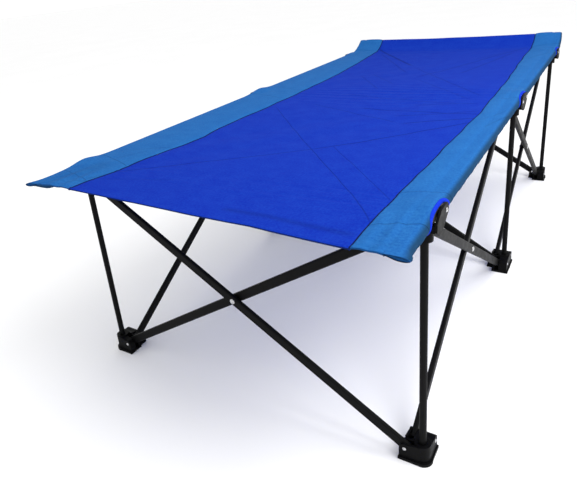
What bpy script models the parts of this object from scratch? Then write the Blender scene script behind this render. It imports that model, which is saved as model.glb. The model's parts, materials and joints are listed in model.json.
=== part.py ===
"""Folding camp stretcher: a fabric bed on two sleeved side rails, carried by six
posts on moulded feet that scissor bars tie together.

Metres, +Z up. +Y runs from the foot end to the raised head end, +X is the right-hand side.
"""

from math import atan2, cos, hypot, pi, sin

import bmesh
import bpy
from mathutils import Matrix, Vector

for old in list(bpy.data.objects):
    bpy.data.objects.remove(old, do_unlink=True)

# ---- driving sizes ----------------------------------------------------------
BAY = 0.790  # post to post, lengthwise
HALF = BAY / 2  # post to centre line: the footprint is two squares, so every bar is equal
ARM = 0.030  # post axis to bar pivot, at feet and hubs
FOOT_Z = 0.026  # lower pivots
HUB_Z = 0.474  # upper pivots
SIDE_X = HALF - 0.0185  # plane of the lengthwise scissors, inboard of the posts
LAYER = 0.006  # each bar of a scissor sits this far to its side of the plane
BAR_WIDE, BAR_THICK, BAR_WALL = 0.020, 0.010, 0.0012
BAR_PAST = 0.008  # tube beyond its end pivot
PIN_R, HOLE_R = 0.0029, 0.0034
POST_R, POST_WALL = 0.0068, 0.0012
SOCKET_R, SOCKET_FLOOR, SOCKET_TOP = 0.0076, 0.010, 0.042
RAIL_X, RAIL_Z = HALF + 0.009, 0.504
RAIL_R, RAIL_WALL = 0.011, 0.0012
RAIL_PIN = 0.030  # rail pin, from the hub's middle towards the bay
LAP_BACK, LAP_PAST = 0.090, 0.012  # rail tongue: back to its shoulder, past mid-bay
FRONT_END, HEAD_END = -0.9299, 0.924  # ends of the bed
HEAD_RISE = 0.042  # how far the head end stands up
RAIL_SHORT = 0.034  # the rail stops this far inside the front end of its sleeve
SHEET_LOW, SHEET_HIGH = 0.0118, 0.0138  # bed fabric over the rail's axis
LIP_IN, LIP_OUT, LIP_LOW = 0.0125, 0.0145, -0.012  # sleeve side, from the rail's axis
GAP = 0.0003

ROWS = {"front": -BAY, "middle": 0.0, "head": BAY}
SIDES = {"left": -1, "right": 1}
ROW_NAMES = list(ROWS)
RUN, RISE = BAY - 2 * ARM, HUB_Z - FOOT_Z
REACH, OPEN_ANGLE = hypot(RUN, RISE), atan2(RISE, RUN)
CROSS_Z = (FOOT_Z + HUB_Z) / 2


# ---- materials --------------------------------------------------------------
def finish(name, colour, roughness, metallic=0.0):
    material = bpy.data.materials.new(name)
    material.use_nodes = True
    shader = material.node_tree.nodes["Principled BSDF"]
    shader.inputs["Base Color"].default_value = (*colour, 1.0)
    shader.inputs["Roughness"].default_value = roughness
    shader.inputs["Metallic"].default_value = metallic
    return material


TUBE = finish("black_enamel", (0.012, 0.012, 0.013), 0.42)
MOULD = finish("black_plastic", (0.010, 0.010, 0.011), 0.50)
STEEL = finish("rivet_steel", (0.62, 0.62, 0.63), 0.28, 1.0)
RAIL = finish("rail_steel", (0.16, 0.16, 0.17), 0.38, 1.0)
CANVAS = finish("blue_canvas", (0.012, 0.045, 0.45), 0.85)


# ---- shapes -----------------------------------------------------------------
def skin(rings, capped=True):
    """A closed body through rings of equal length; the last ring joins the first unless capped."""
    bm = bmesh.new()
    loops = [[bm.verts.new(p) for p in ring] for ring in rings]
    pairs = list(zip(loops, loops[1:]))
    if not capped:
        pairs.append((loops[-1], loops[0]))
    for low, high in pairs:
        for i in range(len(low)):
            j = (i + 1) % len(low)
            bm.faces.new((low[i], low[j], high[j], high[i]))
    if capped:
        bm.faces.new(loops[0])
        bm.faces.new(loops[-1])
    bmesh.ops.recalc_face_normals(bm, faces=bm.faces)
    return bm


def box(x, y, z):
    bm = bmesh.new()
    middle = Vector([(a + b) / 2 for a, b in (x, y, z)])
    size = [abs(b - a) for a, b in (x, y, z)]
    bmesh.ops.create_cube(
        bm, size=1.0, matrix=Matrix.Translation(middle) @ Matrix.Diagonal((*size, 1.0))
    )
    return bm


def rod(axis, start, length, radius, sides=12):
    """A round bar from start along one axis."""
    bm = bmesh.new()
    way = Vector([float(axis == k) for k in "XYZ"])
    turn = way.to_track_quat("Z", "Y").to_matrix().to_4x4()
    bmesh.ops.create_cone(
        bm,
        cap_ends=True,
        segments=sides,
        radius1=radius,
        radius2=radius,
        depth=length,
        matrix=Matrix.Translation(Vector(start) + way * (length / 2)) @ turn,
    )
    return bm


def slab(outline, base, along, across, low, high):
    """A flat plate: an outline of (along, up) points at base, from low to high across."""
    base, along, across = Vector(base), Vector(along), Vector(across)
    up = Vector((0, 0, 1))
    return skin(
        [[base + along * u + up * v + across * t for u, v in outline] for t in (low, high)]
    )


def stations(path):
    """(y, z, normal y, normal z) along a path in the lengthwise upright plane."""
    out = []
    for i, (y, z) in enumerate(path):
        before, after = path[max(i - 1, 0)], path[min(i + 1, len(path) - 1)]
        dy, dz = after[0] - before[0], after[1] - before[1]
        size = hypot(dy, dz)
        out.append((y, z, -dz / size, dy / size))
    return out


def sweep(outline, path):
    """An outline of (x, out) points carried along a path."""
    return skin(
        [[(x, y + n * ny, z + n * nz) for x, n in outline] for y, z, ny, nz in stations(path)]
    )


def tube(path, x, radius, wall, sides=12):
    """An open round tube along a path in the lengthwise upright plane."""
    rings = []
    spots = stations(path)
    for r, way in ((radius, spots), (radius - wall, spots[::-1])):
        for y, z, ny, nz in way:
            ring = []
            for k in range(sides):
                a = 2 * pi * (k + 0.5) / sides
                n = r * sin(a)
                ring.append((x + r * cos(a), y + n * ny, z + n * nz))
            rings.append(ring)
    return skin(rings, capped=False)


def disc_outline(u, v, radius, first, last, steps):
    return [
        (
            u + radius * cos(first + (last - first) * k / steps),
            v + radius * sin(first + (last - first) * k / steps),
        )
        for k in range(steps + 1)
    ]


def place(bm, name):
    mesh = bpy.data.meshes.new(name)
    bm.to_mesh(mesh)
    bm.free()
    piece = bpy.data.objects.new(name, mesh)
    bpy.context.collection.objects.link(piece)
    return piece


def build(name, material, origin, adds, cuts=(), turn=None, parent=None):
    """One closed body from shapes added together and cut, with its origin on its joint.

    Shapes are drawn in world positions, or around the origin when a turn is given.
    """
    piece = place(adds[0], name)
    tools = []
    for operation, shapes in (("UNION", adds[1:]), ("DIFFERENCE", cuts)):
        for shape in shapes:
            tool = place(shape, name + "_tool")
            step = piece.modifiers.new(operation.lower(), "BOOLEAN")
            step.operation, step.solver, step.object = operation, "EXACT", tool
            tools.append(tool)
    if tools:
        graph = bpy.context.evaluated_depsgraph_get()
        mesh = bpy.data.meshes.new_from_object(piece.evaluated_get(graph))
        piece.modifiers.clear()
        piece.data = mesh
        mesh.name = name
        for tool in tools:
            bpy.data.objects.remove(tool, do_unlink=True)
    if turn is None:
        piece.data.transform(Matrix.Translation(-Vector(origin)))
    else:
        piece.rotation_euler = turn
    piece.location = origin
    piece.data.materials.clear()
    piece.data.materials.append(material)
    if parent is not None:
        bpy.context.view_layer.update()
        piece.parent = parent
        piece.matrix_parent_inverse = parent.matrix_world.inverted()
    return piece


# ---- feet and hubs ----------------------------------------------------------
# Lengthwise bars: the one that climbs towards the head runs inboard, the one that drops runs
# outboard. Cross bars: the one on the right foot runs in front, the one on the left foot behind.
def arms(side, row, level):
    """(direction, across axis, offset across, start) of each ear pair of a foot or a hub."""
    s, r = SIDES[side], ROW_NAMES.index(row)
    front_bar = (side == "right") == (level == "foot")
    cross = -LAYER if front_bar else LAYER
    out = [((-s, 0, 0), (0, 1, 0), cross, 0.0060)]
    outer, inner = s * (SIDE_X - HALF + LAYER), s * (SIDE_X - HALF - LAYER)
    for way, there in ((1, r < 2), (-1, r > 0)):
        if there:
            offset = inner if (level == "foot") == (way > 0) else outer
            # on the side of the cross bar's slot the ears start beyond it
            out.append(((0, way, 0), (1, 0, 0), offset, 0.0120 if way * cross > 0 else 0.0030))
    return out


SLOT = BAR_THICK / 2 + 0.0006
EAR = 0.0040
EAR_R = 0.0105
FOOT_R = 0.0150  # post boss of a foot; its outer walls are flush with it


def pivot_of(side, row, level):
    """Where the joint that carries this foot or hub lies."""
    s, r = SIDES[side], ROW_NAMES.index(row)
    z = FOOT_Z if level == "foot" else HUB_Z
    if r == 1:
        return Vector((s * (HALF - ARM), 0.0, z))
    return Vector((s * SIDE_X, ROWS[row] + (ARM if r == 0 else -ARM), z))


def foot_ear(begin):
    """Outline of an ear of a foot, from its start to the round end about the pivot."""
    return (
        [(begin, 0.0010), (ARM + EAR_R, 0.0010)]
        + disc_outline(ARM, FOOT_Z, EAR_R, 0.0, pi * 0.62, 5)
        + [(begin, SOCKET_TOP - 0.0012)]
    )


def foot(side, row):
    s, y = SIDES[side], ROWS[row]
    base = Vector((s * HALF, y, 0.0))
    adds = [rod("Z", base, SOCKET_TOP, FOOT_R, 24)]
    adds.append(rod("Z", base, 0.0068, FOOT_R + 0.0038, 24))
    for way, across, layer, begin in arms(side, row, "foot"):
        way, across = Vector(way), Vector(across)
        out = s if across.x else {"front": -1, "middle": 0, "head": 1}[row]
        low, high = layer - SLOT - EAR, layer + SLOT + EAR
        if out > 0:
            high = max(high, FOOT_R)
        if out < 0:
            low = min(low, -FOOT_R)
        pad = [base + way * 0.001 + across * (low - 0.0030), base + way * (ARM + EAR_R + 0.0012) + across * (high + 0.0030)]
        adds.append(
            box(
                (min(p.x for p in pad), max(p.x for p in pad)),
                (min(p.y for p in pad), max(p.y for p in pad)),
                (0.0, 0.0060),
            )
        )
        for a, b in ((low, layer - SLOT), (layer + SLOT, high)):
            adds.append(slab(foot_ear(begin), base, way, across, a, b))
        if out > 0:
            adds.append(slab(foot_ear(0.0004), base, way, across, max(layer + SLOT, -0.0120), high))
        if out < 0:
            adds.append(slab(foot_ear(0.0004), base, way, across, low, min(layer - SLOT, 0.0120)))
        axis = "Y" if across.y else "X"
        start = base + way * ARM + across * (layer - SLOT - 0.003) + Vector((0, 0, FOOT_Z))
        adds.append(rod(axis, start, 2 * SLOT + 0.006, PIN_R, 10))
    cuts = [rod("Z", base + Vector((0, 0, SOCKET_FLOOR)), 0.06, SOCKET_R, 16)]
    return build(f"foot_{row}_{side}", MOULD, pivot_of(side, row, "foot"), adds, cuts)


def rail_pins(row):
    return {"front": (RAIL_PIN,), "middle": (-RAIL_PIN, RAIL_PIN), "head": (-RAIL_PIN,)}[row]


def hub(side, row):
    s, y = SIDES[side], ROWS[row]
    base = Vector((s * HALF, y, HUB_Z))
    adds = [rod("Z", base - Vector((0, 0, 0.0130)), 0.0295, 0.0140, 16)]
    for way, across, layer, begin in arms(side, row, "hub"):
        way, across = Vector(way), Vector(across)
        ear = (
            [(begin, -0.0128)]
            + disc_outline(ARM, 0.0, EAR_R, -pi * 0.62, 0.0, 5)
            + [(ARM + EAR_R, 0.0165), (begin, 0.0180)]
        )
        for low in (layer - SLOT - EAR, layer + SLOT):
            adds.append(slab(ear, base, way, across, low, low + EAR))
        roof = [(begin - 0.0010, 0.0138), (ARM + EAR_R - 0.0008, 0.0138), (ARM + EAR_R - 0.0008, 0.0160), (begin - 0.0010, 0.0175)]
        adds.append(slab(roof, base, way, across, layer - SLOT - 0.002, layer + SLOT + 0.002))
        axis = "Y" if across.y else "X"
        start = base + way * ARM + across * (layer - SLOT - 0.003)
        adds.append(rod(axis, start, 2 * SLOT + 0.006, PIN_R, 10))
    # arm under the rail and the outer ear plate that carries it
    out = Vector((s, 0, 0))
    adds.append(
        slab(
            [(-0.0070, 0.0030), (0.0070, 0.0030), (0.0070, 0.0160), (-0.0070, 0.0160)],
            base, (0, 1, 0), out, 0.004, RAIL_X - HALF + 0.0150,
        )
    )
    rise = RAIL_Z - HUB_Z
    right = [(0.0090, 0.0025), (RAIL_PIN + 0.0125, rise - 0.006)] + disc_outline(
        RAIL_PIN, rise, 0.0125, 0.0, pi / 2, 3
    )
    left = [(-u, v) for u, v in reversed(right)]
    if row == "front":
        plate = right + [(0.0, rise + 0.0110), (-0.0215, rise - 0.004), (-0.0215, 0.0120), (-0.0090, 0.0025)]
    elif row == "head":
        plate = [(0.0090, 0.0025), (0.0215, 0.0120), (0.0215, rise - 0.004), (0.0, rise + 0.0110)] + left
    else:
        plate = right + left
    ear_in = RAIL_X - HALF + RAIL_R + 0.0015
    adds.append(slab(plate, base, (0, 1, 0), out, ear_in, ear_in + EAR))
    for pin in rail_pins(row):
        inner = RAIL_X - HALF - RAIL_R + 0.001
        start = base + Vector((s * inner if s > 0 else s * (ear_in + 0.003), pin, rise))
        adds.append(rod("X", start, ear_in + 0.003 - inner, PIN_R, 10))
    cuts = [rod("Z", base - Vector((0, 0, 0.030)), 0.044, SOCKET_R - 0.0004, 16)]
    return build(f"hub_{row}_{side}", MOULD, pivot_of(side, row, "hub"), adds, cuts)


def post(side, row, parent):
    s, y = SIDES[side], ROWS[row]
    low, high = SOCKET_FLOOR + GAP, HUB_Z + 0.0137
    rings = []
    for r, levels in ((POST_R, (low, high)), (POST_R - POST_WALL, (high, low))):
        for z in levels:
            rings.append(
                [(s * HALF + r * cos(2 * pi * k / 14), y + r * sin(2 * pi * k / 14), z) for k in range(14)]
            )
    return build(
        f"post_{row}_{side}", TUBE, (s * HALF, y, high), [skin(rings, capped=False)], parent=parent
    )


# ---- scissor bars -----------------------------------------------------------
def bar_shapes(along, start):
    """A flat-sided tube along X or Y around its joint, and the three holes through it."""
    a, b = start - BAR_PAST, start + REACH + BAR_PAST
    rings = []
    for inset, ends in ((0.0, (a, b)), (BAR_WALL, (b, a))):
        v, n, c = BAR_WIDE / 2 - inset, BAR_THICK / 2 - inset, 0.0022 - inset
        profile = [
            (n - c, v), (-n + c, v), (-n, v - c), (-n, -v + c),
            (-n + c, -v), (n - c, -v), (n, -v + c), (n, v - c),
        ]
        for u in ends:
            rings.append([(u, t, w) if along == "X" else (t, u, w) for t, w in profile])
    holes = []
    for u in (start, start + REACH / 2, start + REACH):
        spot = (u, -0.01, 0) if along == "X" else (-0.01, u, 0)
        holes.append(rod("Y" if along == "X" else "X", spot, 0.02, HOLE_R, 8))
    return [skin(rings, capped=False)], holes


def rivet(name, axis, centre, parent):
    """A headed rivet through both bars at a crossing."""
    half = LAYER + BAR_THICK / 2 + GAP
    profile = [(0.0, PIN_R), (half, PIN_R), (half, 0.0062), (half + 0.0010, 0.0060), (half + 0.0022, 0.0038)]
    profile = [(-u, r) for u, r in reversed(profile[1:])] + profile[1:]
    rings = []
    for u, r in profile:
        ring = []
        for k in range(10):
            p, q = r * cos(2 * pi * k / 10), r * sin(2 * pi * k / 10)
            ring.append(Vector(centre) + Vector((p, u, q) if axis == "Y" else (u, p, q)))
        rings.append(ring)
    return build(name, STEEL, centre, [skin(rings)], parent=parent)


def cross_bars(row):
    y = ROWS[row]
    joint_at_cross = row == "middle"
    adds, cuts = bar_shapes("X", 0.0)
    build(
        f"cross_bar_{row}_rear", TUBE, (-(HALF - ARM), y + LAYER, FOOT_Z), adds, cuts,
        turn=(0.0, -OPEN_ANGLE, 0.0),
    )
    adds, cuts = bar_shapes("X", -REACH / 2 if joint_at_cross else 0.0)
    at = (0.0, y - LAYER, CROSS_Z) if joint_at_cross else (HALF - ARM, y - LAYER, FOOT_Z)
    fore = build(
        f"cross_bar_{row}_fore", TUBE, at, adds, cuts, turn=(0.0, OPEN_ANGLE - pi, 0.0)
    )
    rivet(f"cross_rivet_{row}", "Y", (0.0, y, CROSS_Z), fore)


def side_bars(side, bay):
    """The two lengthwise bars of one bay; each is jointed on its middle foot or at the crossing."""
    s = SIDES[side]
    near, far = ROWS[ROW_NAMES[bay]], ROWS[ROW_NAMES[bay + 1]]
    where = ("front", "head")[bay]
    climb_mid, drop_mid = bay == 0, bay == 1
    x = s * (SIDE_X - LAYER)
    adds, cuts = bar_shapes("Y", -REACH / 2 if climb_mid else 0.0)
    at = (x, (near + far) / 2, CROSS_Z) if climb_mid else (x, near + ARM, FOOT_Z)
    climb = build(f"side_bar_{where}_{side}_inner", TUBE, at, adds, cuts, turn=(OPEN_ANGLE, 0.0, 0.0))
    x = s * (SIDE_X + LAYER)
    adds, cuts = bar_shapes("Y", -REACH / 2 if drop_mid else 0.0)
    at = (x, (near + far) / 2, CROSS_Z) if drop_mid else (x, far - ARM, FOOT_Z)
    drop = build(f"side_bar_{where}_{side}_outer", TUBE, at, adds, cuts, turn=(pi - OPEN_ANGLE, 0.0, 0.0))
    rivet(f"side_rivet_{where}_{side}", "X", (s * SIDE_X, (near + far) / 2, CROSS_Z), climb if climb_mid else drop)


# ---- rails and bed fabric ---------------------------------------------------
def head_path(start):
    """The rail line from start to the raised head end."""
    lift = HEAD_END - BAY - 0.030
    path = [(start, RAIL_Z), (BAY + 0.030, RAIL_Z)]
    for share in (0.25, 0.5, 0.75, 1.0):
        path.append((BAY + 0.030 + lift * share, RAIL_Z + HEAD_RISE * share**1.6))
    return path


def rail_and_flap(side, place_name):
    s = SIDES[side]
    x = s * RAIL_X
    mid = {"front": -BAY / 2, "front_mid": -BAY / 2, "head_mid": BAY / 2, "head": BAY / 2}[place_name]
    pin = {
        "front": -BAY + RAIL_PIN, "front_mid": -RAIL_PIN, "head_mid": RAIL_PIN, "head": BAY - RAIL_PIN,
    }[place_name]
    inward = 1.0 if mid > pin else -1.0  # from the pin to mid-bay
    shoulder = mid - inward * LAP_BACK
    if place_name == "front":
        rail_path, flap_path = [(FRONT_END + RAIL_SHORT, RAIL_Z), (shoulder, RAIL_Z)], [(FRONT_END, RAIL_Z), (mid - GAP / 2, RAIL_Z)]
    elif place_name == "head":
        rail_path, flap_path = head_path(shoulder)[:-1], head_path(mid + GAP / 2)
    else:
        ends = sorted((pin - inward * 0.008, shoulder))
        rail_path = [(ends[0], RAIL_Z), (ends[1], RAIL_Z)]
        ends = sorted((inward * GAP / 2, mid - inward * GAP / 2))
        flap_path = [(ends[0], RAIL_Z), (ends[1], RAIL_Z)]
    # tongues of the two rails that meet lie side by side: the hub-end one outboard
    tongue = s if place_name in ("front", "head") else -s
    span = sorted((shoulder - inward * 0.010, mid + inward * LAP_PAST))
    adds = [
        tube(rail_path, x, RAIL_R, RAIL_WALL),
        box(sorted((x + tongue * 0.0004, x + tongue * 0.0054)), span, (RAIL_Z - 0.0096, RAIL_Z + 0.0096)),
    ]
    cuts = [rod("X", (x - 0.02, pin, RAIL_Z), 0.04, HOLE_R, 8)]
    rail = build(f"rail_{place_name}_{side}", RAIL, (x, pin, RAIL_Z), adds, cuts)

    outline = [
        (s * GAP, SHEET_LOW), (s * (RAIL_X + LIP_IN), SHEET_LOW), (s * (RAIL_X + LIP_IN), LIP_LOW),
        (s * (RAIL_X + LIP_OUT), LIP_LOW), (s * (RAIL_X + LIP_OUT), SHEET_HIGH), (s * GAP, SHEET_HIGH),
    ]
    notch = []
    hub_y = {"front": -BAY, "head": BAY}.get(place_name, 0.0)
    reach = sorted((hub_y - inward * 0.034, hub_y + inward * (RAIL_PIN + 0.018)))
    notch.append(box(sorted((x + s * 0.008, x + s * 0.030)), reach, (RAIL_Z - 0.03, RAIL_Z + 0.03)))
    build(
        f"canvas_{place_name}_{side}", CANVAS, (x, pin, RAIL_Z), [sweep(outline, flap_path)], notch, parent=rail
    )


# ---- the object -------------------------------------------------------------
for row in ROWS:
    for side in SIDES:
        foot(side, row)
        post(side, row, hub(side, row))
    cross_bars(row)
for side in SIDES:
    for bay in (0, 1):
        side_bars(side, bay)
    for place_name in ("front", "front_mid", "head_mid", "head"):
        rail_and_flap(side, place_name)
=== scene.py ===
"""Looks of the folding camp stretcher: fabric, trim, rivets, finishes, floor, light and camera."""

import json
from math import cos, hypot, pi, radians, sin

import bpy
import numpy as np
from mathutils import Matrix, Vector

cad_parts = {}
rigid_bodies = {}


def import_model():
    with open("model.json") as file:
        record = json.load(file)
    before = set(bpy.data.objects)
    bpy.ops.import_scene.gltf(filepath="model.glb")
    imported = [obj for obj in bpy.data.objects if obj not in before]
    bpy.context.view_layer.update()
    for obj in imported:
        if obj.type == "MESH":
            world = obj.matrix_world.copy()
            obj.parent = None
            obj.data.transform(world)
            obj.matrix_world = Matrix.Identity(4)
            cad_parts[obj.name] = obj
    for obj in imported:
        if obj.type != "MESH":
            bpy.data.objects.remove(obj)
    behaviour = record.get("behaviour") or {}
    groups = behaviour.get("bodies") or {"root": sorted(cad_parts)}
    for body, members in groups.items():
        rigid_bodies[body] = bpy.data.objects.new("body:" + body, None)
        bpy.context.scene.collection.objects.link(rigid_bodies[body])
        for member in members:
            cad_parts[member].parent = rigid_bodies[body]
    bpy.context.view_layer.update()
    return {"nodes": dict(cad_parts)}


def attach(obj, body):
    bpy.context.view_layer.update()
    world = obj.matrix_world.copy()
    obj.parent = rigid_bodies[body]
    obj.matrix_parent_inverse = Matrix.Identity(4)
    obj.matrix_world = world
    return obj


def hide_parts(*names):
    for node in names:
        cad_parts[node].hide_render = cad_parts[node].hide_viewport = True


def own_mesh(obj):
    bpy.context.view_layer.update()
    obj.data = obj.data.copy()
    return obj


for old in list(bpy.data.objects):
    bpy.data.objects.remove(old, do_unlink=True)

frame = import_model()

# ---- sizes of the frame that the fabric and trim follow ----------------------
BAY = 0.790
ARM, FOOT_Z, HUB_Z = 0.030, 0.026, 0.474
SIDE_IN, LAYER, EAR_FACE, FOOT_R = 0.0185, 0.006, 0.0096, 0.0150
RAIL_X, RAIL_Z, RAIL_PIN = 0.404, 0.504, 0.030
FRONT, HEAD_END, HEAD_BEND, HEAD_RISE = -0.9299, 0.924, 0.820, 0.042
PLATE_OUT = 0.0165  # outer face of the bracket plate, from the rail's axis
CLOTH = 0.0009  # fabric thickness
END_TALL = 0.0095  # closed ends of the sleeves
WRAP_R = 0.0128  # sleeve round the rail
FLAT = 0.0150  # flat part of the sleeve piece, inboard of the rail's top, clear of the bars
EDGE = RAIL_X - FLAT
ROWS = {"front": -BAY, "middle": 0.0, "head": BAY}
SIDES = {"left": -1, "right": 1}
PLACES = {
    "front": (FRONT, -BAY / 2),
    "front_mid": (-BAY / 2, 0.0),
    "head_mid": (0.0, BAY / 2),
    "head": (BAY / 2, HEAD_END),
}
# bracket cut-outs in the sleeve: middle and half length
NOTCHES = {"front": (-BAY + 0.0105, 0.0500), "middle": (0.0, 0.0600), "head": (BAY - 0.0105, 0.0500)}
# sleeve seam, from the centre line, along the bed
SEAM_AT = (-0.93, -0.87, -0.81, -0.75, -0.68, -0.60, -0.52, -0.44, -0.34, -0.22, -0.10, 0.05, 0.20, 0.40, 0.60, 0.80, 0.93)
SEAM = {
    "left": (0.294, 0.288, 0.275, 0.272, 0.262, 0.255, 0.247, 0.259, 0.257, 0.250, 0.244, 0.246, 0.249, 0.261, 0.277, 0.297, 0.306),
    "right": (0.341, 0.339, 0.339, 0.339, 0.342, 0.343, 0.344, 0.345, 0.347, 0.352, 0.350, 0.348, 0.345, 0.336, 0.328, 0.325, 0.321),
}


# ---- finishes ---------------------------------------------------------------
def new_material(name):
    material = bpy.data.materials.new(name)
    material.use_nodes = True
    return material, material.node_tree.nodes, material.node_tree.links, material.node_tree.nodes["Principled BSDF"]


def ramp(nodes, low, high, first=0.35, last=0.65):
    node = nodes.new("ShaderNodeValToRGB")
    node.color_ramp.elements[0].position, node.color_ramp.elements[1].position = first, last
    node.color_ramp.elements[0].color = (*low, 1.0)
    node.color_ramp.elements[1].color = (*high, 1.0)
    return node


def noise(nodes, scale, detail, rough=0.55):
    node = nodes.new("ShaderNodeTexNoise")
    node.inputs["Scale"].default_value = scale
    node.inputs["Detail"].default_value = detail
    node.inputs["Roughness"].default_value = rough
    return node


def drawn(nodes, links, place, marks, wander):
    """Mask of lines on the cloth; each mark is x, y of both ends, half width and strength."""
    stray, shift = noise(nodes, 9.0, 2.0), nodes.new("ShaderNodeMath")
    shift.operation = "MULTIPLY_ADD"
    shift.inputs[1].default_value, shift.inputs[2].default_value = wander, -wander / 2
    links.new(place.outputs["UV"], stray.inputs["Vector"])
    links.new(stray.outputs["Fac"], shift.inputs[0])

    def dot(x, y):
        node = nodes.new("ShaderNodeVectorMath")
        node.operation = "DOT_PRODUCT"
        node.inputs[1].default_value = (x, y, 0.0)
        links.new(place.outputs["UV"], node.inputs[0])
        return node.outputs["Value"]

    def calc(operation, a, b=None):
        node = nodes.new("ShaderNodeMath")
        node.operation = operation
        for socket, value in zip(node.inputs, (a, b)):
            if isinstance(value, float):
                socket.default_value = value
            elif value is not None:
                links.new(value, socket)
        return node.outputs["Value"]

    def fade(value, first, last, low, high):
        node = nodes.new("ShaderNodeMapRange")
        node.interpolation_type = "SMOOTHSTEP"
        for socket, number in zip(("From Min", "From Max", "To Min", "To Max"), (first, last, low, high)):
            node.inputs[socket].default_value = number
        links.new(value, node.inputs["Value"])
        return node.outputs["Result"]

    mask = None
    for ax, ay, bx, by, wide, strong in marks:
        size = hypot(bx - ax, by - ay)
        dx, dy = (bx - ax) / size, (by - ay) / size
        off = calc("SUBTRACT", dot(-dy, dx), -dy * ax + dx * ay)
        off = calc("ABSOLUTE", calc("ADD", off, shift.outputs["Value"]))
        start = dx * ax + dy * ay
        along = dot(dx, dy)
        both = calc("MULTIPLY", fade(along, start, start + 0.12 * size, 0.0, 1.0), fade(along, start + 0.88 * size, start + size, 1.0, 0.0))
        one = calc("MULTIPLY", both, fade(off, 0.0, wide, strong, 0.0))
        mask = one if mask is None else calc("MAXIMUM", mask, one)
    return mask, fade


def fabric(name, low, high, sheen=0.0, weave=0.10, painted_shade=None, marks=(), wander=0.006, stitch_and_crease_shade=0.70):
    """Woven cloth: mottled tone, fine grain and a two-way weave in the relief.

    Given a painted shade colour, the cloth darkens to it round the outside of the sleeve, where the cloth turns from
    the light. Marks darken the cloth along lines: stitching, and painted shade in creases and folds.
    """
    material, nodes, links, shader = new_material(name)
    place = nodes.new("ShaderNodeUVMap")
    tone, grain = noise(nodes, 26.0, 6.0, 0.62), noise(nodes, 220.0, 5.0, 0.72)
    colour, shine = ramp(nodes, low, high, 0.39, 0.61), ramp(nodes, (0.78,) * 3, (0.90,) * 3)
    links.new(place.outputs["UV"], tone.inputs["Vector"])
    links.new(place.outputs["UV"], grain.inputs["Vector"])
    blend = nodes.new("ShaderNodeMath")
    blend.operation = "MULTIPLY_ADD"
    blend.inputs[1].default_value = 0.74
    half = nodes.new("ShaderNodeMath")
    half.operation = "MULTIPLY"
    half.inputs[1].default_value = 0.26
    links.new(grain.outputs["Fac"], blend.inputs[0])
    links.new(tone.outputs["Fac"], half.inputs[0])
    links.new(half.outputs["Value"], blend.inputs[2])
    links.new(blend.outputs["Value"], colour.inputs["Fac"])
    last = None
    painted = colour.outputs["Color"]
    # painted shade: past the rail's top the colour turns to the painted shade colour round the outside of the sleeve
    if painted_shade is not None:
        apart, width = nodes.new("ShaderNodeSeparateXYZ"), nodes.new("ShaderNodeMath")
        width.operation = "ABSOLUTE"
        turn = nodes.new("ShaderNodeMapRange")
        turn.interpolation_type = "SMOOTHSTEP"
        turn.inputs["From Min"].default_value = EDGE + FLAT + 0.0030
        turn.inputs["From Max"].default_value = EDGE + FLAT + 0.0140
        both = nodes.new("ShaderNodeMix")
        both.data_type = "RGBA"
        dark = ramp(nodes, [0.85 * v for v in painted_shade], [1.15 * v for v in painted_shade], 0.32, 0.70)
        links.new(place.outputs["UV"], apart.inputs["Vector"])
        links.new(apart.outputs["X"], width.inputs[0])
        links.new(width.outputs["Value"], turn.inputs["Value"])
        links.new(blend.outputs["Value"], dark.inputs["Fac"])
        links.new(turn.outputs["Result"], both.inputs["Factor"])
        links.new(colour.outputs["Color"], both.inputs["A"])
        links.new(dark.outputs["Color"], both.inputs["B"])
        painted = both.outputs["Result"]
    # the marks darken the colour and dent the relief: stitching, and painted shade in creases and folds
    if marks:
        mask, fade = drawn(nodes, links, place, marks, wander)
        stitch_and_crease_shading = nodes.new("ShaderNodeHueSaturation")
        links.new(fade(mask, 0.0, 1.0, 1.0, stitch_and_crease_shade), stitch_and_crease_shading.inputs["Value"])
        links.new(painted, stitch_and_crease_shading.inputs["Color"])
        painted = stitch_and_crease_shading.outputs["Color"]
        last = nodes.new("ShaderNodeBump")
        last.invert = True
        last.inputs["Strength"].default_value = 0.6
        last.inputs["Distance"].default_value = 0.0006
        links.new(mask, last.inputs["Height"])
    links.new(painted, shader.inputs["Base Color"])
    links.new(grain.outputs["Fac"], shine.inputs["Fac"])
    links.new(shine.outputs["Color"], shader.inputs["Roughness"])
    for way in ("X", "Y"):
        thread = nodes.new("ShaderNodeTexWave")
        thread.bands_direction = way
        thread.inputs["Scale"].default_value = 170.0
        thread.inputs["Distortion"].default_value = 0.6
        links.new(place.outputs["UV"], thread.inputs["Vector"])
        relief = nodes.new("ShaderNodeBump")
        relief.inputs["Strength"].default_value = weave
        relief.inputs["Distance"].default_value = 0.0004
        links.new(thread.outputs["Fac"], relief.inputs["Height"])
        if last is not None:
            links.new(last.outputs["Normal"], relief.inputs["Normal"])
        last = relief
    slub = nodes.new("ShaderNodeBump")
    slub.inputs["Strength"].default_value = 0.16
    slub.inputs["Distance"].default_value = 0.0008
    links.new(grain.outputs["Fac"], slub.inputs["Height"])
    links.new(last.outputs["Normal"], slub.inputs["Normal"])
    links.new(slub.outputs["Normal"], shader.inputs["Normal"])
    shader.inputs["Specular IOR Level"].default_value = 0.03
    shader.inputs["Sheen Weight"].default_value = sheen
    shader.inputs["Sheen Roughness"].default_value = 0.45
    return material


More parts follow.
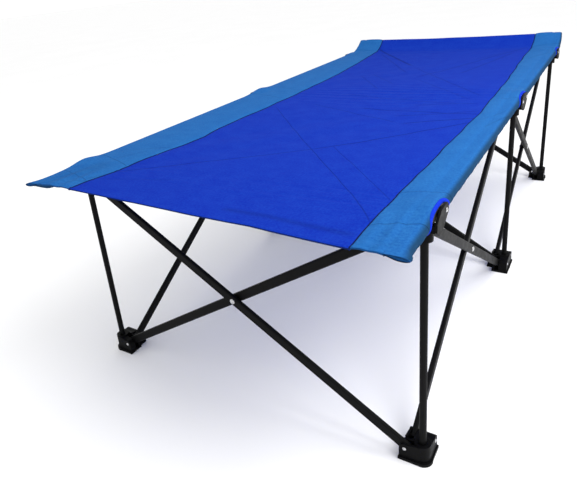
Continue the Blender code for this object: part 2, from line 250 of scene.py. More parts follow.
def hard(name, low, high, gloss, metallic, scale, relief, soft=0.0, level=0.5):
    """Painted metal, plastic or plated steel with a slightly uneven surface and eased edges."""
    material, nodes, links, shader = new_material(name)
    place = nodes.new("ShaderNodeTexCoord")
    tone, grain = noise(nodes, scale, 4.0), noise(nodes, scale * 14.0, 2.0)
    colour, shine = ramp(nodes, low, high), ramp(nodes, (gloss[0],) * 3, (gloss[1],) * 3)
    links.new(place.outputs["Object"], tone.inputs["Vector"])
    links.new(place.outputs["Object"], grain.inputs["Vector"])
    links.new(tone.outputs["Fac"], colour.inputs["Fac"])
    links.new(tone.outputs["Fac"], shine.inputs["Fac"])
    links.new(colour.outputs["Color"], shader.inputs["Base Color"])
    links.new(shine.outputs["Color"], shader.inputs["Roughness"])
    bump = nodes.new("ShaderNodeBump")
    bump.inputs["Strength"].default_value = relief
    bump.inputs["Distance"].default_value = 0.0005
    links.new(grain.outputs["Fac"], bump.inputs["Height"])
    if soft:
        eased = nodes.new("ShaderNodeBevel")
        eased.samples = 6
        eased.inputs["Radius"].default_value = soft
        links.new(eased.outputs["Normal"], bump.inputs["Normal"])
    links.new(bump.outputs["Normal"], shader.inputs["Normal"])
    shader.inputs["Metallic"].default_value = metallic
    shader.inputs["Specular IOR Level"].default_value = level
    return material


# fold lines pressed into the panel, drawn darker with a slight dent: painted shade in the creases; and stitching
# across the sleeves either side of each bracket
CREASES = (
    (-0.310, -0.839, 0.135, -0.495, 0.0048, 0.80),
    (0.080, -0.543, 0.375, -0.264, 0.0055, 0.90),
    (0.099, -0.494, 0.220, -0.355, 0.0040, 0.40),
    (-0.262, -0.152, 0.386, -0.911, 0.0023, 0.85),
    (0.095, -0.494, 0.357, -0.802, 0.0023, 0.65),
    (-0.315, 0.885, -0.021, 0.473, 0.0100, 1.00),
    (-0.273, 0.794, 0.010, 0.319, 0.0060, 0.60),
    (-0.032, 0.484, 0.337, -0.050, 0.0060, 0.60),
    (0.059, 0.240, 0.306, -0.076, 0.0060, 0.50),
    (0.322, 0.858, 0.039, 0.240, 0.0070, 0.80),
    (0.285, 0.722, 0.171, 0.307, 0.0070, 0.70),
    (0.265, 0.759, 0.154, 0.573, 0.0060, 0.50),
    (0.385, -0.220, 0.007, -0.167, 0.0060, 0.75),
    (0.372, -0.243, 0.186, -0.308, 0.0060, 0.95),
    (0.196, -0.305, -0.141, -0.136, 0.0060, 0.55),
    (0.360, -0.180, 0.140, -0.247, 0.0060, 0.70),
    (0.334, -0.106, 0.163, -0.126, 0.0060, 0.65),
    (0.315, -0.119, -0.140, 0.000, 0.0060, 0.50),
    (-0.168, 0.313, 0.003, 0.053, 0.0060, 0.50),
    (-0.129, 0.331, 0.025, 0.136, 0.0060, 0.50),
    (0.060, -0.888, 0.350, -0.892, 0.0150, 0.55),
    (-0.290, -0.865, -0.090, -0.800, 0.0090, 0.30),
)
STITCHES = tuple(
    (s * 0.250, row + at - 0.048, s * 0.500, row + at + 0.042, 0.0018, 1.0)
    for s in SIDES.values()
    for row in ROWS.values()
    for at in (-0.058, 0.058)
)
# loose folds of the sleeves, drawn darker: painted shade in the folds, and a wide patch of painted shade over the left
# front corner
FOLDS = (
    (-0.410, -1.000, -0.320, -0.760, 0.0600, 0.34),
    (-0.357, -0.684, -0.257, -0.627, 0.0070, 0.40),
    (-0.343, -0.750, -0.297, -0.669, 0.0070, 0.35),
    (-0.302, -0.876, -0.268, -0.814, 0.0080, 0.40),
    (-0.332, -0.909, -0.259, -0.863, 0.0060, 0.40),
    (0.384, -0.336, 0.424, -0.188, 0.0060, 0.45),
    (0.365, -0.288, 0.408, -0.171, 0.0060, 0.35),
    (0.346, 0.527, 0.401, 0.687, 0.0080, 0.40),
    (0.365, -0.930, 0.395, -0.896, 0.0120, 0.30),
    (0.364, -0.873, 0.406, -0.905, 0.0120, 0.25),
)
PANEL = fabric("royal_blue_cloth", (0.0013, 0.0162, 0.284), (0.0062, 0.0358, 0.344), marks=CREASES, stitch_and_crease_shade=0.66)
SLEEVE = fabric("azure_cloth", (0.0085, 0.079, 0.282), (0.0180, 0.121, 0.350), marks=STITCHES + FOLDS, wander=0.002, stitch_and_crease_shade=0.62)
# WRAP darkens round the outside of the sleeve: painted shade
WRAP = fabric("azure_wrap", (0.0085, 0.079, 0.282), (0.0180, 0.121, 0.350), painted_shade=(0.009, 0.043, 0.104), marks=STITCHES + FOLDS, wander=0.002, stitch_and_crease_shade=0.62)
# FACE: a darker copy of the sleeve cloth on the sleeves' end faces and hem rows: painted shade
FACE = fabric("azure_painted_shade", (0.0070, 0.050, 0.165), (0.0100, 0.064, 0.205))
# HEM: a darker navy copy of the panel cloth on the turned-down hem rows: painted shade
HEM = fabric("navy_hem_painted_shade", (0.0040, 0.013, 0.095), (0.0060, 0.019, 0.125))
SEAM_TAPE = fabric("seam_line", (0.0040, 0.008, 0.050), (0.0060, 0.012, 0.070))
BINDING = fabric("bright_binding", (0.0040, 0.024, 0.40), (0.0070, 0.034, 0.50))
TUBE = hard("black_enamel", (0.0032, 0.0032, 0.0034), (0.0054, 0.0054, 0.0057), (0.42, 0.54), 0.0, 45.0, 0.05, 0.0008, 0.06)
MOULD = hard("black_plastic", (0.0020, 0.0020, 0.0023), (0.0034, 0.0034, 0.0038), (0.42, 0.56), 0.0, 60.0, 0.10, 0.0012, 0.055)
STEEL = hard("plated_steel", (0.42, 0.42, 0.43), (0.58, 0.58, 0.59), (0.22, 0.34), 1.0, 220.0, 0.06)
RAIL = hard("rail_steel", (0.10, 0.10, 0.105), (0.16, 0.16, 0.165), (0.30, 0.42), 1.0, 60.0, 0.05)


# ---- carried-over frame -----------------------------------------------------
def soft_shade():
    """Joins split corners and shades across shallow edges only."""
    group = bpy.data.node_groups.new("soft_shade", "GeometryNodeTree")
    group.interface.new_socket("Geometry", in_out="INPUT", socket_type="NodeSocketGeometry")
    group.interface.new_socket("Geometry", in_out="OUTPUT", socket_type="NodeSocketGeometry")
    nodes, links = group.nodes, group.links
    into, out = nodes.new("NodeGroupInput"), nodes.new("NodeGroupOutput")
    merge = nodes.new("GeometryNodeMergeByDistance")
    merge.inputs["Distance"].default_value = 0.00001
    faces, edges = nodes.new("GeometryNodeSetShadeSmooth"), nodes.new("GeometryNodeSetShadeSmooth")
    faces.domain, edges.domain = "FACE", "EDGE"
    edges.inputs["Shade Smooth"].default_value = False
    angle, over = nodes.new("GeometryNodeInputMeshEdgeAngle"), nodes.new("FunctionNodeCompare")
    over.data_type, over.operation = "FLOAT", "GREATER_THAN"
    over.inputs[1].default_value = radians(33)
    links.new(into.outputs[0], merge.inputs["Geometry"])
    links.new(merge.outputs["Geometry"], faces.inputs["Geometry"])
    links.new(faces.outputs["Geometry"], edges.inputs["Geometry"])
    links.new(angle.outputs["Unsigned Angle"], over.inputs[0])
    links.new(over.outputs["Result"], edges.inputs["Selection"])
    links.new(edges.outputs["Geometry"], out.inputs[0])
    return group


SHADE = soft_shade()
for name, node in frame["nodes"].items():
    finish = TUBE
    if name.startswith(("foot_", "hub_")):
        finish = MOULD
    elif "rivet" in name:
        finish = STEEL
    elif name.startswith("rail_"):
        finish = RAIL
    elif name.startswith("canvas_"):
        finish = PANEL
    node.data.materials.clear()
    node.data.materials.append(finish)
    flat_normals = node.data.attributes.get("custom_normal")
    if flat_normals is not None:
        node.data.attributes.remove(flat_normals)
    step = node.modifiers.new("soft_shade", "NODES")
    step.node_group = SHADE


# ---- fabric surface ---------------------------------------------------------
def smooth(t):
    t = np.clip(t, 0.0, 1.0)
    return t * t * (3 - 2 * t)


def line(y):
    """Rail line: height and upward normal (y, z) along the bed."""
    t = np.clip((y - HEAD_BEND) / (HEAD_END - HEAD_BEND), 0.0, None)
    z = RAIL_Z + HEAD_RISE * t**1.6
    slope = HEAD_RISE * 1.6 * t**0.6 / (HEAD_END - HEAD_BEND)
    size = np.sqrt(1 + slope**2)
    return z, -slope / size, 1 / size


def seam_x(side, y):
    phase = 0.0 if side == "left" else 1.9
    wave = 0.0010 * np.sin(2 * pi * y / 0.187 + phase) + 0.0004 * np.sin(2 * pi * y / 0.083 + 2 * phase)
    fade = smooth((y - FRONT) / 0.05)
    return np.interp(y, SEAM_AT, SEAM[side]) + wave * fade


def relief(x, y):
    """Sag, tension folds and pressed creases of the cloth."""
    across = np.clip(1 - (x / EDGE) ** 2, 0.0, 1.0)
    along = np.where(np.abs(y) < BAY, np.sin(pi * y / BAY) ** 2, 0.25 * smooth((np.abs(y) - BAY) / 0.09))
    out = -0.0085 * across * (0.55 + 0.45 * along)
    edge = smooth((EDGE - np.abs(x)) / 0.035)
    # pull lines that fan out from one bracket to the one across
    for row, size, spread in ((-BAY, 0.0003, 0.075), (0.0, 0.0007, 0.135), (BAY, 0.0004, 0.090)):
        wide = 0.34 + 0.66 * across
        t = (y - row) / wide
        pull = np.sin(2 * pi * t / 0.036 + 1.3 * np.sin(7 * x + row)) + 0.6 * np.sin(2 * pi * t / 0.0217 + 2.0 + 3 * x)
        out = out + size * edge * pull * np.exp(-((t / spread) ** 2)) * (0.35 + 0.65 * np.abs(np.sin(4.1 * x + 1.0 + row)))
    # broad folds from corner to corner of each bay
    for first in (-BAY, 0.0):
        for turn in (-1, 1):
            ax, ay, bx, by = -0.37 * turn, first, 0.37 * turn, first + BAY
            size = hypot(bx - ax, by - ay)
            d = ((x - ax) * (by - ay) - (y - ay) * (bx - ax)) / size
            t = ((x - ax) * (bx - ax) + (y - ay) * (by - ay)) / size**2
            fade = smooth(t / 0.12) * smooth((1 - t) / 0.12)
            out = out + edge * fade * 0.0007 * (np.exp(-((d / 0.030) ** 2)) - 0.8 * np.exp(-(((np.abs(d) - 0.062) / 0.028) ** 2)))
    slow = (
        np.sin(13 * x + 4.1 * y + 0.6) * np.sin(6.3 * y - 3.7 * x)
        + 0.6 * np.sin(31 * x - 11 * y + 2.2) * np.sin(17 * y + 1.1)
        + 0.35 * np.sin(47 * x + 39 * y) * np.sin(23 * x - 29 * y + 0.8)
    )
    return out + 0.00055 * edge * slow


def hump(x, y):
    """The sleeve stands up a little over each bracket."""
    rise = sum((0.4 if row == "head" else 1.0) * np.exp(-(((y - middle) / (0.78 * half)) ** 2)) for row, (middle, half) in NOTCHES.items())
    return 0.0080 * rise * smooth((np.abs(x) - 0.350) / 0.052)


def top(side, x, y):
    """Bed surface over the rail line, panel and sleeve."""
    d = np.abs(x) - seam_x(side, y)
    out = WRAP_R + relief(x, y) * (1 - 0.45 * smooth(d / 0.02))
    edge = smooth((EDGE - np.abs(x)) / 0.012)
    out = out + edge * (0.0013 * smooth(d / 0.0016) - 0.0013 * np.exp(-((d / 0.0014) ** 2)))
    span = np.clip(d / np.maximum(EDGE - seam_x(side, y), 0.01), 0.0, 1.0)
    out = out + 0.0016 * np.sin(pi * span)
    out = out + hump(x, y)
    loose = np.exp(-(((y - FRONT - 0.02) / 0.13) ** 2)) * smooth(d / 0.025) * edge
    out = out + 0.0016 * loose * np.sin(2 * pi * np.abs(x) / 0.037 + 9 * y + 0.8) * np.sin(2 * pi * (y - FRONT) / 0.33 + 0.5)
    near = np.exp(-(((y - FRONT) / 0.030) ** 2)) + 0.7 * np.exp(-(((y - HEAD_END) / 0.030) ** 2))
    out = out + 0.0013 * smooth(d / 0.02) * edge * near * np.sin(2 * pi * (y - FRONT) / 0.019 + 9 * x)
    return out


# how far the front hem runs ahead of the bed's end, across the bed
HEM_AT = (-0.43, -0.30, -0.10, 0.16, 0.335, 0.43)
HEM_AHEAD = (0.000, -0.011, -0.006, 0.005, 0.024, 0.024)


def ends(x, y):
    """The front hem is cut a little askew; the head hem pulls in between the rails."""
    ahead = np.interp(x, HEM_AT, HEM_AHEAD) * smooth(1 - (y - FRONT) / 0.17)
    pull = np.clip(1 - (x / EDGE) ** 2, 0.0, 1.0) * smooth(1 - (HEAD_END - y) / 0.10)
    return -ahead - 0.003 * pull


def bed_point(side, x, y, lift=0.0):
    z, ny, nz = line(y)
    n = top(side, x, y) + lift
    return np.stack([x + 0 * y, y + ends(x, y) + n * ny, z + n * nz], -1)


def bed_normal(side, x, y):
    e = 0.0007
    a = bed_point(side, x + e, y) - bed_point(side, x - e, y)
    b = bed_point(side, x, y + e) - bed_point(side, x, y - e)
    n = np.cross(a, b)
    return n / np.linalg.norm(n, axis=-1, keepdims=True)


# sleeve section round the rail: (outboard, up) from the rail's axis, with its length along the cloth
arc = np.linspace(0.0, pi, 61)
SECTION = np.concatenate(
    [
        np.stack([np.linspace(-FLAT, -0.001, 12), np.full(12, WRAP_R)], 1),
        np.stack([WRAP_R * np.sin(arc), WRAP_R * np.cos(arc)], 1),
        np.array([(-0.004, -0.0127), (-0.008, -0.0119), (-0.0115, -0.0098), (-0.0138, -0.0066), (-0.0147, -0.0025), (-0.0149, 0.0020), (-0.0147, 0.0062), (-0.0138, 0.0100)]),
    ]
)
ALONG = np.concatenate([[0.0], np.cumsum(np.linalg.norm(np.diff(SECTION, axis=0), axis=1))])
WRAP_LONG = ALONG[-1]
CUT_AT = FLAT + WRAP_R * radians(40)
UNDER_AT = FLAT + WRAP_R * radians(162)
tangent = np.gradient(SECTION, ALONG, axis=0)
tangent /= np.linalg.norm(tangent, axis=1, keepdims=True)
OUTWARD = np.stack([-tangent[:, 1], tangent[:, 0]], 1)


def wrap_end(y):
    """How far the sleeve reaches round the rail: less at the bracket cut-outs, and short of
    the inner side beside them, where the hub's ears pass when it folds."""
    share, beside = np.zeros_like(y), np.zeros_like(y)
    for middle, half in NOTCHES.values():
        t = np.clip(np.abs(y - middle) / half, 0.0, 1.0)
        share = np.maximum(share, (1 - t**4) ** 0.42)
        beside = np.maximum(beside, smooth((half + 0.050 - np.abs(y - middle)) / 0.020))
    reach = WRAP_LONG - (WRAP_LONG - UNDER_AT) * beside
    return reach - (reach - CUT_AT) * share


def wrap_point(s, long, y, lift=0.0):
    """Point of the sleeve at a length along its section."""
    dx, n = np.interp(long, ALONG, SECTION[:, 0]), np.interp(long, ALONG, SECTION[:, 1])
    ox, on = np.interp(long, ALONG, OUTWARD[:, 0]), np.interp(long, ALONG, OUTWARD[:, 1])
    size = np.sqrt(ox**2 + on**2)
    ox, on = ox / size, on / size
    loose = smooth((long - FLAT) / 0.02) * (
        0.00035 * np.sin(2 * pi * y / 0.071 + 40 * long) + 0.00025 * np.sin(2 * pi * y / 0.029 - 60 * long + 1.0)
    )
    dx, n = dx + ox * (lift + loose), n + on * (lift + loose)
    # beyond the rail's end the sleeve is pressed flat and spreads a little
    first, last = smooth(1 - (y - FRONT) / 0.040), smooth(1 - (HEAD_END - y) / 0.030)
    flat = np.maximum(first, last)
    tall = END_TALL * (0.34 + 0.66 * smooth((dx + FLAT) / (FLAT + WRAP_R)))
    n = WRAP_R - (WRAP_R - n) * (1 - flat * (1 - tall / (2 * WRAP_R)))
    n = np.minimum(n, np.where(long > FLAT + 0.04, 0.0098, 1.0))
    dx = dx + (0.75 * first - 0.25 * last) * np.maximum(dx, 0.0)
    z, ny, nz = line(y)
    x = s * (RAIL_X + dx)
    n = n + hump(x, y) * smooth(1 - (long - FLAT) / (WRAP_R * radians(115)))
    return np.stack([x, y + ends(x, y) + n * ny, z + n * nz], -1)


def wrap_normal(s, long, y):
    e = 0.0006
    long = np.clip(long, e, WRAP_LONG - e)
    a = wrap_point(s, long + e, y) - wrap_point(s, long - e, y)
    b = wrap_point(s, long, y + e) - wrap_point(s, long, y - e)
    n = s * np.cross(a, b)
    return n / np.linalg.norm(n, axis=-1, keepdims=True)


# ---- mesh building ----------------------------------------------------------
def make(name, points, faces, materials, face_material=None, uv=None, normals=None):
    mesh = bpy.data.meshes.new(name)
    mesh.from_pydata([tuple(map(float, p)) for p in points], [], [tuple(map(int, f)) for f in faces])
    for material in materials:
        mesh.materials.append(material)
    mesh.polygons.foreach_set("use_smooth", [True] * len(mesh.polygons))
    if face_material is not None:
        mesh.polygons.foreach_set("material_index", [int(k) for k in face_material])
    if uv is not None:
        layer = mesh.uv_layers.new(name="cloth")
        index = np.empty(len(mesh.loops), int)
        mesh.loops.foreach_get("vertex_index", index)
        layer.data.foreach_set("uv", np.asarray(uv, float)[index].ravel())
    mesh.update()
    if normals is not None:
        mesh.normals_split_custom_set_from_vertices([tuple(map(float, n)) for n in normals])
    piece = bpy.data.objects.new(name, mesh)
    bpy.context.collection.objects.link(piece)
    return piece


def cloth(name, points, normals, uv, materials, strip_material):
    """A thin closed cloth from a grid of points: outer face, inner face and the cut edges."""
    rows, cols = points.shape[:2]
    outer = points.reshape(-1, 3)
    flat_normals = normals.reshape(-1, 3)
    inner = outer - flat_normals * CLOTH
    count = rows * cols
    i, j = np.meshgrid(np.arange(rows - 1), np.arange(cols - 1), indexing="ij")
    a = (i * cols + j).ravel()
    quads = np.stack([a, a + 1, a + cols + 1, a + cols], 1)
    first = quads[len(quads) // 2]
    way = np.cross(outer[first[1]] - outer[first[0]], outer[first[3]] - outer[first[0]])
    if way @ flat_normals[first[0]] < 0:
        quads = quads[:, ::-1]
    under = quads[:, ::-1] + count
    ring = (
        [k for k in range(cols)]
        + [r * cols + cols - 1 for r in range(1, rows)]
        + [(rows - 1) * cols + k for k in range(cols - 2, -1, -1)]
        + [r * cols for r in range(rows - 2, 0, -1)]
    )
    pair = {}
    for quad in quads:
        for k in range(4):
            pair[(quad[k], quad[(k + 1) % 4])] = True
    walls = []
    for k in range(len(ring)):
        p, q = ring[k], ring[(k + 1) % len(ring)]
        if (p, q) in pair:
            p, q = q, p
        walls.append((p, q, q + count, p + count))
    strip = strip_material.ravel()
    wall_material = [int(strip[0])] * len(walls)
    return make(
        name,
        np.concatenate([outer, inner]),
        np.concatenate([quads, under, np.array(walls)]),
        materials,
        np.concatenate([strip, strip, wall_material]),
        np.concatenate([uv.reshape(-1, 2)] * 2),
        np.concatenate([flat_normals, -flat_normals]),
    )


HEM_PROFILE = ((0.0034, -0.0088), (0.0010, -0.0082), (0.0, -0.0062), (0.0, -0.0028), (0.0010, -0.0005), (0.0032, 0.0006), (0.0062, 0.0007), (0.0085, 0.0))


def piece_rows(place):
    low, high = PLACES[place]
    rows = list(np.linspace(low, high, int(round((high - low) / 0.0070)) + 1))
    extra = []
    for middle, half in NOTCHES.values():
        rows = [y for y in rows if abs(y - middle) > half + 0.001]
        extra += [middle + half * cos(pi * k / 44) for k in range(45)]
    for row in ROWS.values():
        for at in (-0.056, 0.056):
            extra += [row + at + d for d in (-0.0032, -0.0016, 0.0, 0.0016, 0.0032)]
    rows += [y for y in extra if low <= y <= high]
    if place == "front":
        rows = [y for y in rows if y > low + 0.010]
    if place == "head":
        rows = [y for y in rows if y < high - 0.010]
    rows += [v for v in (low, high) if abs(v) < 0.5]
    kept = []
    for y in sorted(rows):
        if not kept or y - kept[-1] > 0.0005:
            kept.append(y)
    if high in (0.0, BAY / 2, -BAY / 2):
        kept[-1] = high
    return np.array(kept)


def bed_piece(side, place):
    """Half the bed's width along one rail length: panel, seam and the flat of the sleeve."""
    s = SIDES[side]
    rows = piece_rows(place)
    low, high = PLACES[place]
    lift = np.zeros(len(rows))
    hem_rows = 0
    turned = None
    if place in ("front", "head"):
        lead = np.array([p[0] for p in HEM_PROFILE])
        drop = np.array([p[1] for p in HEM_PROFILE])
        t = np.gradient(np.stack([lead, drop], 1), axis=0)
        t /= np.linalg.norm(t, axis=1, keepdims=True)
        if place == "front":
            rows = np.concatenate([low + lead, rows])
            lift = np.concatenate([drop, lift])
            turned = np.stack([-t[:, 1], t[:, 0]], 1)
        else:
            rows = np.concatenate([rows, (high - lead)[::-1]])
            lift = np.concatenate([lift, drop[::-1]])
            turned = np.stack([t[:, 1], t[:, 0]], 1)[::-1]
        hem_rows = len(HEM_PROFILE)
    panel, sleeve = 50, 20
    share = np.concatenate([np.linspace(0, 1, panel + 1), np.linspace(1, 2, 4)[1:], np.linspace(2, 3, sleeve + 1)[1:]])
    line_at = seam_x(side, rows)[:, None]
    in_panel = share[None, :] * (line_at - 0.0018)
    in_tape = line_at - 0.0018 + (share[None, :] - 1) * 0.0030
    in_sleeve = line_at + 0.0012 + (share[None, :] - 2) * (EDGE - line_at - 0.0012)
    x = np.where(share[None, :] <= 1, in_panel, np.where(share[None, :] <= 2, in_tape, in_sleeve)) * s
    y = np.repeat(rows[:, None], x.shape[1], 1)
    deep = 0.34 + 0.08 * smooth((np.abs(x) - line_at) / 0.030)
    points = bed_point(side, x, y, lift[:, None] * np.where(lift[:, None] < 0, deep, 1.0))
    normals = bed_normal(side, x, y)
    if turned is not None:
        at = slice(0, hem_rows) if place == "front" else slice(len(rows) - hem_rows, len(rows))
        _, ny, nz = line(rows[at])
        up = np.stack([0 * ny, ny, nz], 1)
        way = np.stack([0 * ny, nz, -ny], 1)
        made = (way * turned[:, :1] + up * turned[:, 1:])[:, None, :]
        bent = np.cross(np.gradient(points, axis=1), np.gradient(points, axis=0))[at]
        bent *= np.sign(np.sum(bent * made, axis=-1, keepdims=True))
        normals[at] = bent / np.linalg.norm(bent, axis=-1, keepdims=True)
    strip = np.zeros((len(rows) - 1, x.shape[1] - 1), int)
    middle_of = (share[1:] + share[:-1]) / 2
    strip[:, (middle_of > 1) & (middle_of < 2)] = 2
    strip[:, middle_of >= 2] = 1
    # the turned-down hem rows take the darker cloth, HEM on the panel and FACE on the sleeve: painted shade
    at = {"front": slice(0, 4), "head": slice(-4, None)}.get(place, slice(0, 0))
    strip[at] = np.where(middle_of >= 2, 4, 3)
    uv = np.stack([x, y], -1)
    piece = cloth(f"bed_{place}_{side}", points, normals, uv, (PANEL, SLEEVE, SEAM_TAPE, HEM, FACE), strip)
    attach(piece, f"rail_{place}_{side}")
    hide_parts(f"canvas_{place}_{side}")
    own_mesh(piece)
    return piece


def sleeve_piece(side, place):
    """The sleeve round one rail length, cut out at the brackets and bound there."""
    s = SIDES[side]
    rows = piece_rows(place)
    low, high = PLACES[place]
    lift = np.zeros(len(rows))
    if place in ("front", "head"):
        lead = np.array([p[0] for p in HEM_PROFILE])
        drop = np.maximum(np.array([p[1] for p in HEM_PROFILE]) * 0.30, -0.0009)
        if place == "front":
            rows, lift = np.concatenate([low + lead, rows]), np.concatenate([drop, lift])
        else:
            rows, lift = np.concatenate([rows, (high - lead)[::-1]]), np.concatenate([lift, drop[::-1]])
    cols = 40
    share = np.linspace(0, 1, cols + 1)
    long = share[None, :] * wrap_end(rows)[:, None]
    y = np.repeat(rows[:, None], cols + 1, 1)
    points, normals = wrap_point(s, long, y, lift[:, None]), wrap_normal(s, long, y)
    strip = np.zeros((len(rows) - 1, cols), int)
    # the rows at the sleeve's hem take the darker FACE cloth: painted shade
    if place == "front":
        strip[:4, :] = 1
    if place == "head":
        strip[-4:, :] = 1
    piece = cloth(f"sleeve_{place}_{side}", points, normals, np.stack([s * (EDGE + long), y], -1), (WRAP, FACE), strip)
    body = f"rail_{place}_{side}"
    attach(piece, body)
    for row, (middle, half) in NOTCHES.items():
        at = np.array([middle + half * cos(pi * k / 60) for k in range(60, -1, -1)])
        at = at[(at >= low - 1e-9) & (at <= high + 1e-9)]
        if len(at) < 4:
            continue
        spot, out = wrap_point(s, wrap_end(at), at), wrap_normal(s, wrap_end(at), at)
        binding(f"binding_{place}_{side}", spot, out, body)
    return piece


def binding(name, spots, outs, body):
    """A folded tape sewn over the edge of a cut-out."""
    steps = np.concatenate([[0.0], np.cumsum(np.linalg.norm(np.diff(spots, axis=0), axis=1))])
    even = np.linspace(0, steps[-1], max(int(steps[-1] / 0.0022), 12))
    spots = np.stack([np.interp(even, steps, spots[:, k]) for k in range(3)], 1)
    outs = np.stack([np.interp(even, steps, outs[:, k]) for k in range(3)], 1)
    outs /= np.linalg.norm(outs, axis=1, keepdims=True)
    along = np.gradient(spots, axis=0)
    along /= np.linalg.norm(along, axis=1, keepdims=True)
    across = np.cross(along, outs)
    across /= np.linalg.norm(across, axis=1, keepdims=True)
    outs = np.cross(across, along)
    sides = 12
    points, uv = [], []
    for k in range(len(even)):
        for m in range(sides):
            a = 2 * pi * m / sides
            points.append(spots[k] - outs[k] * CLOTH / 2 + across[k] * 0.0036 * cos(a) + outs[k] * 0.0017 * sin(a))
            uv.append((even[k], 0.001 * m))
    faces = []
    for k in range(len(even) - 1):
        for m in range(sides):
            n = (m + 1) % sides
            faces.append((k * sides + m, (k + 1) * sides + m, (k + 1) * sides + n, k * sides + n))
    last = (len(even) - 1) * sides
    for m in range(1, sides - 1):
        faces.append((0, m, m + 1))
        faces.append((last, last + m + 1, last + m))
    piece = make(name, points, faces, (BINDING,), None, uv)
    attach(piece, body)
    return piece


def sleeve_end(side, place):
    """The sewn-up end face of a sleeve, between its upper and lower layers, in the darker FACE cloth: painted shade.
    """
    s = SIDES[side]
    end = FRONT + 0.0012 if place == "front" else HEAD_END - 0.0012
    side_at = FLAT + WRAP_R * pi / 2
    share = np.linspace(0, 1, 31)
    over = wrap_point(s, share * side_at, np.full(31, end), -CLOTH / 2)
    under = wrap_point(s, WRAP_LONG + share * (side_at - WRAP_LONG), np.full(31, end), -CLOTH / 2)
    tuck = s * 0.0022 * (1 - smooth(share / 0.10))
    over[:, 0] -= tuck
    under[:, 0] -= tuck
    down = np.linspace(0, 1, 7)[:, None, None]
    points = over[None] * (1 - down) + under[None] * down
    way = -1.0 if place == "front" else 1.0
    pucker = 0.0005 * np.sin(2 * pi * share * 5)[None, :] + 0.0010 * np.sin(pi * down[:, :, 0])
    points[:, :, 1] += way * pucker * np.sin(pi * down[:, :, 0]) * smooth(share / 0.16)[None, :]
    normals = np.cross(np.gradient(points, axis=1), np.gradient(points, axis=0))
    normals *= np.sign(normals[:, :, 1:2]) * way
    normals /= np.maximum(np.linalg.norm(normals, axis=-1, keepdims=True), 1e-12)
    normals[:, -1] = normals[:, -2]
    keep = slice(0, 30)
    points, normals = points[:, keep], normals[:, keep]
    piece = cloth(f"sleeve_end_{place}_{side}", points, normals, points[:, :, ::2], (FACE,), np.zeros((6, 29), int))
    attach(piece, f"rail_{place}_{side}")
    return piece


for side in SIDES:
    for place in PLACES:
        bed_piece(side, place)
        sleeve_piece(side, place)
    for place in ("front", "head"):
        sleeve_end(side, place)


# ---- rivets -----------------------------------------------------------------
def heads(name, spots, radius, tall, body, replaced=None):
    """Domed rivet heads on a washer rim: each spot is a point and the way it faces."""
    profile = ((1.0, -0.12), (1.0, 0.10), (0.96, 0.22), (0.86, 0.34), (0.80, 0.40), (0.70, 0.66), (0.50, 0.87), (0.26, 0.97))
    sides = 20
    points, faces, uv = [], [], []
    for spot, way in spots:
        way = Vector(way).normalized()
        turn = way.to_track_quat("Z", "Y").to_matrix()
        base = len(points)
        for r, h in profile:
            for k in range(sides):
                a = 2 * pi * k / sides
                points.append(Vector(spot) + turn @ Vector((radius * r * cos(a), radius * r * sin(a), tall * h)))
                uv.append((k / sides, h))
        for k in range(len(profile) - 1):
            for m in range(sides):
                n = (m + 1) % sides
                faces.append((base + k * sides + m, base + k * sides + n, base + (k + 1) * sides + n, base + (k + 1) * sides + m))
        tip = base + (len(profile) - 1) * sides
        faces.append(tuple(tip + m for m in range(sides)))
        faces.append(tuple(base + m for m in reversed(range(sides))))
    piece = make(name, points, faces, (STEEL,), None, uv)
    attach(piece, body)
    if replaced:
        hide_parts(replaced)
    return piece


def ears(side, row, level):
    """Where the ear faces of a foot or hub lie: pin middle, way the pin runs, both faces along it."""
    s, r = SIDES[side], list(ROWS).index(row)
    z = FOOT_Z if level == "foot" else HUB_Z
    cross = -LAYER if (side == "right") == (level == "foot") else LAYER
    found = [(Vector((s * (BAY / 2 - ARM), ROWS[row] + cross, z)), Vector((0, 1, 0)), cross, r - 1)]
    for way, there in ((1, r < 2), (-1, r > 0)):
        if there:
            layer = -LAYER if (level == "foot") == (way > 0) else LAYER
            offset = s * (layer - SIDE_IN)
            found.append((Vector((s * BAY / 2 + offset, ROWS[row] + way * ARM, z)), Vector((1, 0, 0)), offset, s))
    out = []
    for at, way, offset, outside in found:
        low, high = -EAR_FACE, EAR_FACE
        if level == "foot" and outside > 0:
            high = max(high, FOOT_R - offset)
        if level == "foot" and outside < 0:
            low = min(low, -FOOT_R - offset)
        out.append((at, way, low, high))
    return out


for row in ROWS:
    for side in SIDES:
        s = SIDES[side]
        for level in ("foot", "hub"):
            spots = []
            for at, way, first, last in ears(side, row, level):
                faces = [(at + way * last, way), (at + way * first, -way)]
                if level == "hub" and way.x:  # no head on the side where the folded rail passes
                    faces = faces[1:] if s > 0 else faces[:1]
                spots += faces
            heads(f"rivets_{level}_{row}_{side}", spots, 0.0038, 0.0019, f"{level}_{row}_{side}")
        pins = {"front": (RAIL_PIN,), "middle": (-RAIL_PIN, RAIL_PIN), "head": (-RAIL_PIN,)}[row]
        spots = [(Vector((s * (RAIL_X + PLATE_OUT), ROWS[row] + p, RAIL_Z)), Vector((s, 0, 0))) for p in pins]
        heads(f"rivets_plate_{row}_{side}", spots, 0.0042, 0.0021, f"hub_{row}_{side}")


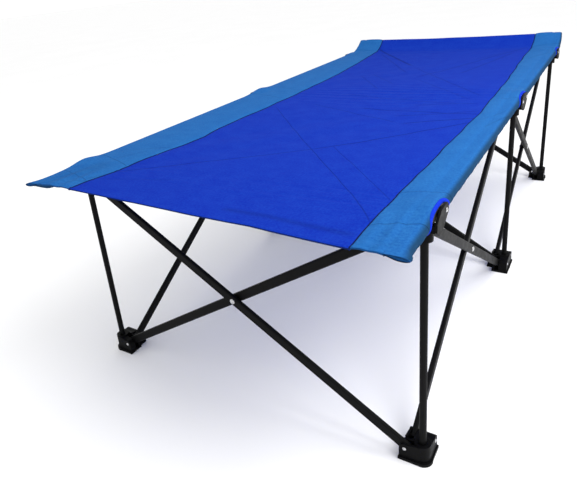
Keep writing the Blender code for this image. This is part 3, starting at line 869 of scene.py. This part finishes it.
# ---- floor, light, camera ---------------------------------------------------
def floor():
    size, cuts = 60.0, 24
    grid = np.linspace(-size, size, cuts + 1)
    points = [(x, y, -0.0002) for y in grid for x in grid]
    faces = [
        (j * (cuts + 1) + i, j * (cuts + 1) + i + 1, (j + 1) * (cuts + 1) + i + 1, (j + 1) * (cuts + 1) + i)
        for j in range(cuts)
        for i in range(cuts)
    ]
    material, nodes, links, shader = new_material("pale_floor")
    place = nodes.new("ShaderNodeTexCoord")
    tone = noise(nodes, 1.4, 3.0)
    colour = ramp(nodes, (0.935, 0.935, 0.935), (0.950, 0.950, 0.950))
    links.new(place.outputs["Object"], tone.inputs["Vector"])
    links.new(tone.outputs["Fac"], colour.inputs["Fac"])
    links.new(colour.outputs["Color"], shader.inputs["Base Color"])
    shader.inputs["Roughness"].default_value = 0.9
    shader.inputs["Specular IOR Level"].default_value = 0.05
    return make("floor", points, faces, (material,))


floor()


def lamp(name, at, aim, size, power, colour=(1.0, 1.0, 1.0)):
    data = bpy.data.lights.new(name, "AREA")
    data.shape, data.size, data.energy, data.color = "DISK", size, power, colour
    lit = bpy.data.objects.new(name, data)
    lit.location = at
    lit.rotation_euler = (Vector(aim) - Vector(at)).to_track_quat("-Z", "Y").to_euler()
    bpy.context.collection.objects.link(lit)
    return lit


lamp("overhead", (1.25, -0.35, 2.0), (0.2, -0.1, 0.4), 1.8, 28.0)
lamp("right", (2.1, -0.7, 2.2), (0.25, -0.1, 0.4), 1.6, 24.0)

world = bpy.data.worlds.new("studio")
bpy.context.scene.world = world
world.use_nodes = True
sky = world.node_tree.nodes["Background"]
sky.inputs["Color"].default_value = (1.0, 1.0, 1.0, 1.0)
sky.inputs["Strength"].default_value = 1.05

# camera solved from the feet, rails and bed corners
FOCAL, MIDDLE_X, MIDDLE_Y = 544.03, 246.40, 190.0
YAW, PITCH, ROLL = -0.6265, 0.3630, -0.1170
ahead = Vector((sin(YAW) * cos(PITCH), cos(YAW) * cos(PITCH), -sin(PITCH)))
level = Vector((cos(YAW), -sin(YAW), 0.0))
upright = level.cross(ahead)
right = level * cos(ROLL) + upright * sin(ROLL)
upward = upright * cos(ROLL) - level * sin(ROLL)
turn = Matrix((right, upward, -ahead)).transposed().to_4x4()
eye = bpy.data.cameras.new("eye")
eye.sensor_fit, eye.sensor_width = "HORIZONTAL", 36.0
eye.lens = FOCAL / 577 * 36
eye.shift_x, eye.shift_y = (288.5 - MIDDLE_X) / 577, (MIDDLE_Y - 247.0) / 577
eye.clip_start, eye.clip_end = 0.05, 200.0
camera = bpy.data.objects.new("eye", eye)
camera.matrix_world = Matrix.Translation((0.6239, -1.5668, 0.8696)) @ turn
bpy.context.collection.objects.link(camera)
bpy.context.scene.camera = camera
bpy.context.scene.view_settings.view_transform = "Standard"

bpy.context.view_layer.update()
